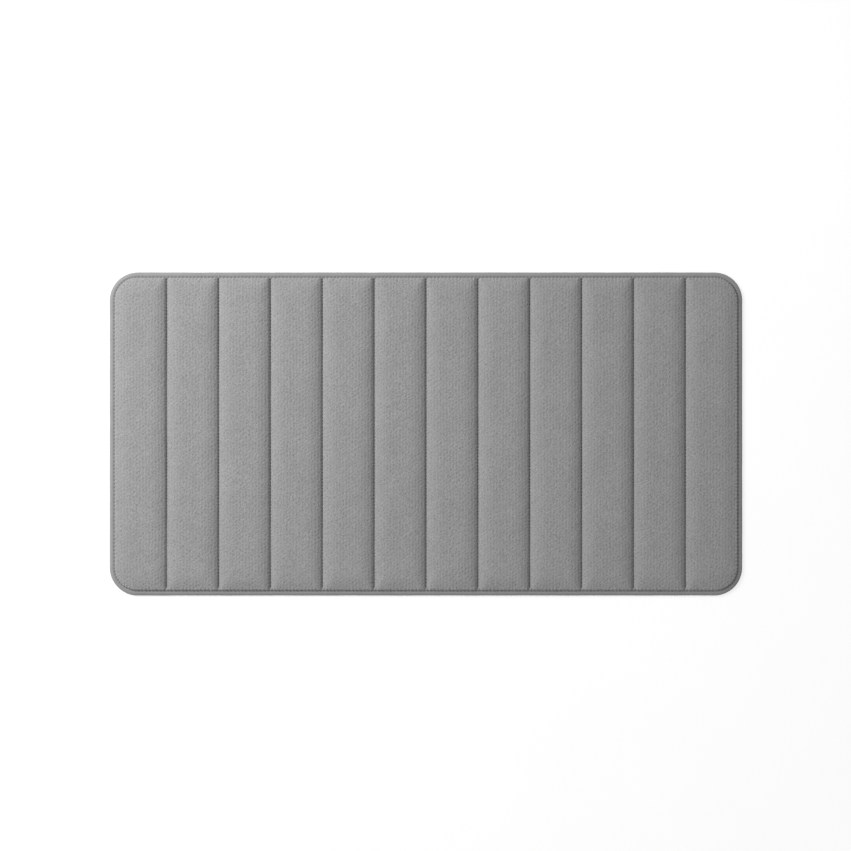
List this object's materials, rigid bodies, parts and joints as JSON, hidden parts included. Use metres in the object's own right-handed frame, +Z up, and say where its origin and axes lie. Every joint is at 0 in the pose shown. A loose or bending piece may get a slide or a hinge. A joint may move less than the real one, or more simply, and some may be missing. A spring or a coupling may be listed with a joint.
{
  "type": "bath mat",
  "caption": "Long padded bath mat: soft grey pile over foam, sewn into parallel rows, with a tape-bound edge, rounded corners and a dotted grip backing; it folds and rolls along its seams.",
  "frame": {"origin": "centre of the mat's rectangle, on the plane that it lies on", "axes": "+X along the length, across the sewn rows; +Y across the width, along the seams; +Z up, out of the pile"},
  "size_m": [1.194, 0.61, 0.0135],
  "materials": {
    "pile_cover": "short plush microfibre pile with a fine dimpled structure, soft sheen",
    "edge_binding": "matte woven polyester tape",
    "thread": "twisted polyester sewing thread",
    "foam": "open-cell polyurethane foam, matte",
    "grip_backing": "woven mesh sheet with raised soft plastic dots",
    "label": "blank woven satin tape"
  },
  "bodies": {
    "row_01": {"foam_strip_01": "foam", "cover_01": "pile_cover", "backing_01": "grip_backing", "binding_01": "edge_binding"},
    "row_02": {"foam_strip_02": "foam", "cover_02": "pile_cover", "backing_02": "grip_backing", "binding_02": "edge_binding", "seam_thread_01": "thread"},
    "row_03": {"foam_strip_03": "foam", "cover_03": "pile_cover", "backing_03": "grip_backing", "binding_03": "edge_binding", "seam_thread_02": "thread"},
    "row_04": {"foam_strip_04": "foam", "cover_04": "pile_cover", "backing_04": "grip_backing", "binding_04": "edge_binding", "seam_thread_03": "thread"},
    "row_05": {"foam_strip_05": "foam", "cover_05": "pile_cover", "backing_05": "grip_backing", "binding_05": "edge_binding", "seam_thread_04": "thread"},
    "row_06": {"foam_strip_06": "foam", "cover_06": "pile_cover", "backing_06": "grip_backing", "binding_06": "edge_binding", "seam_thread_05": "thread", "seam_thread_06": "thread"},
    "row_07": {"foam_strip_07": "foam", "cover_07": "pile_cover", "backing_07": "grip_backing", "binding_07": "edge_binding", "seam_thread_07": "thread"},
    "row_08": {"foam_strip_08": "foam", "cover_08": "pile_cover", "backing_08": "grip_backing", "binding_08": "edge_binding", "seam_thread_08": "thread"},
    "row_09": {"foam_strip_09": "foam", "cover_09": "pile_cover", "backing_09": "grip_backing", "binding_09": "edge_binding", "seam_thread_09": "thread"},
    "row_10": {"foam_strip_10": "foam", "cover_10": "pile_cover", "backing_10": "grip_backing", "binding_10": "edge_binding", "seam_thread_10": "thread"},
    "row_11": {"foam_strip_11": "foam", "cover_11": "pile_cover", "backing_11": "grip_backing", "binding_11": "edge_binding", "seam_thread_11": "thread"},
    "row_12": {"foam_strip_12": "foam", "cover_12": "pile_cover", "backing_12": "grip_backing", "binding_12": "edge_binding", "care_label": "label"}
  },
  "joints": [
    {"name": "seam_01", "type": "hinge", "parent": "row_02", "child": "row_01", "pos_m": [-0.489, 0, 0.00215], "axis": [0, 1, 0], "range_deg": [-28, 28], "stiffness_Nm_per_rad": 0.02},
    {"name": "seam_02", "type": "hinge", "parent": "row_03", "child": "row_02", "pos_m": [-0.3912, 0, 0.00215], "axis": [0, 1, 0], "range_deg": [-28, 28], "stiffness_Nm_per_rad": 0.02},
    {"name": "seam_03", "type": "hinge", "parent": "row_04", "child": "row_03", "pos_m": [-0.2934, 0, 0.00215], "axis": [0, 1, 0], "range_deg": [-28, 28], "stiffness_Nm_per_rad": 0.02},
    {"name": "seam_04", "type": "hinge", "parent": "row_05", "child": "row_04", "pos_m": [-0.1956, 0, 0.00215], "axis": [0, 1, 0], "range_deg": [-28, 28], "stiffness_Nm_per_rad": 0.02},
    {"name": "seam_05", "type": "hinge", "parent": "row_06", "child": "row_05", "pos_m": [-0.0978, 0, 0.00215], "axis": [0, 1, 0], "range_deg": [-28, 28], "stiffness_Nm_per_rad": 0.02},
    {"name": "seam_06", "type": "hinge", "parent": "row_06", "child": "row_07", "pos_m": [0, 0, 0.00215], "axis": [0, -1, 0], "range_deg": [-28, 28], "stiffness_Nm_per_rad": 0.02},
    {"name": "seam_07", "type": "hinge", "parent": "row_07", "child": "row_08", "pos_m": [0.0978, 0, 0.00215], "axis": [0, -1, 0], "range_deg": [-28, 28], "stiffness_Nm_per_rad": 0.02},
    {"name": "seam_08", "type": "hinge", "parent": "row_08", "child": "row_09", "pos_m": [0.1956, 0, 0.00215], "axis": [0, -1, 0], "range_deg": [-28, 28], "stiffness_Nm_per_rad": 0.02},
    {"name": "seam_09", "type": "hinge", "parent": "row_09", "child": "row_10", "pos_m": [0.2934, 0, 0.00215], "axis": [0, -1, 0], "range_deg": [-28, 28], "stiffness_Nm_per_rad": 0.02},
    {"name": "seam_10", "type": "hinge", "parent": "row_10", "child": "row_11", "pos_m": [0.3912, 0, 0.00215], "axis": [0, -1, 0], "range_deg": [-28, 28], "stiffness_Nm_per_rad": 0.02},
    {"name": "seam_11", "type": "hinge", "parent": "row_11", "child": "row_12", "pos_m": [0.489, 0, 0.00215], "axis": [0, -1, 0], "range_deg": [-28, 28], "stiffness_Nm_per_rad": 0.02}
  ]
}
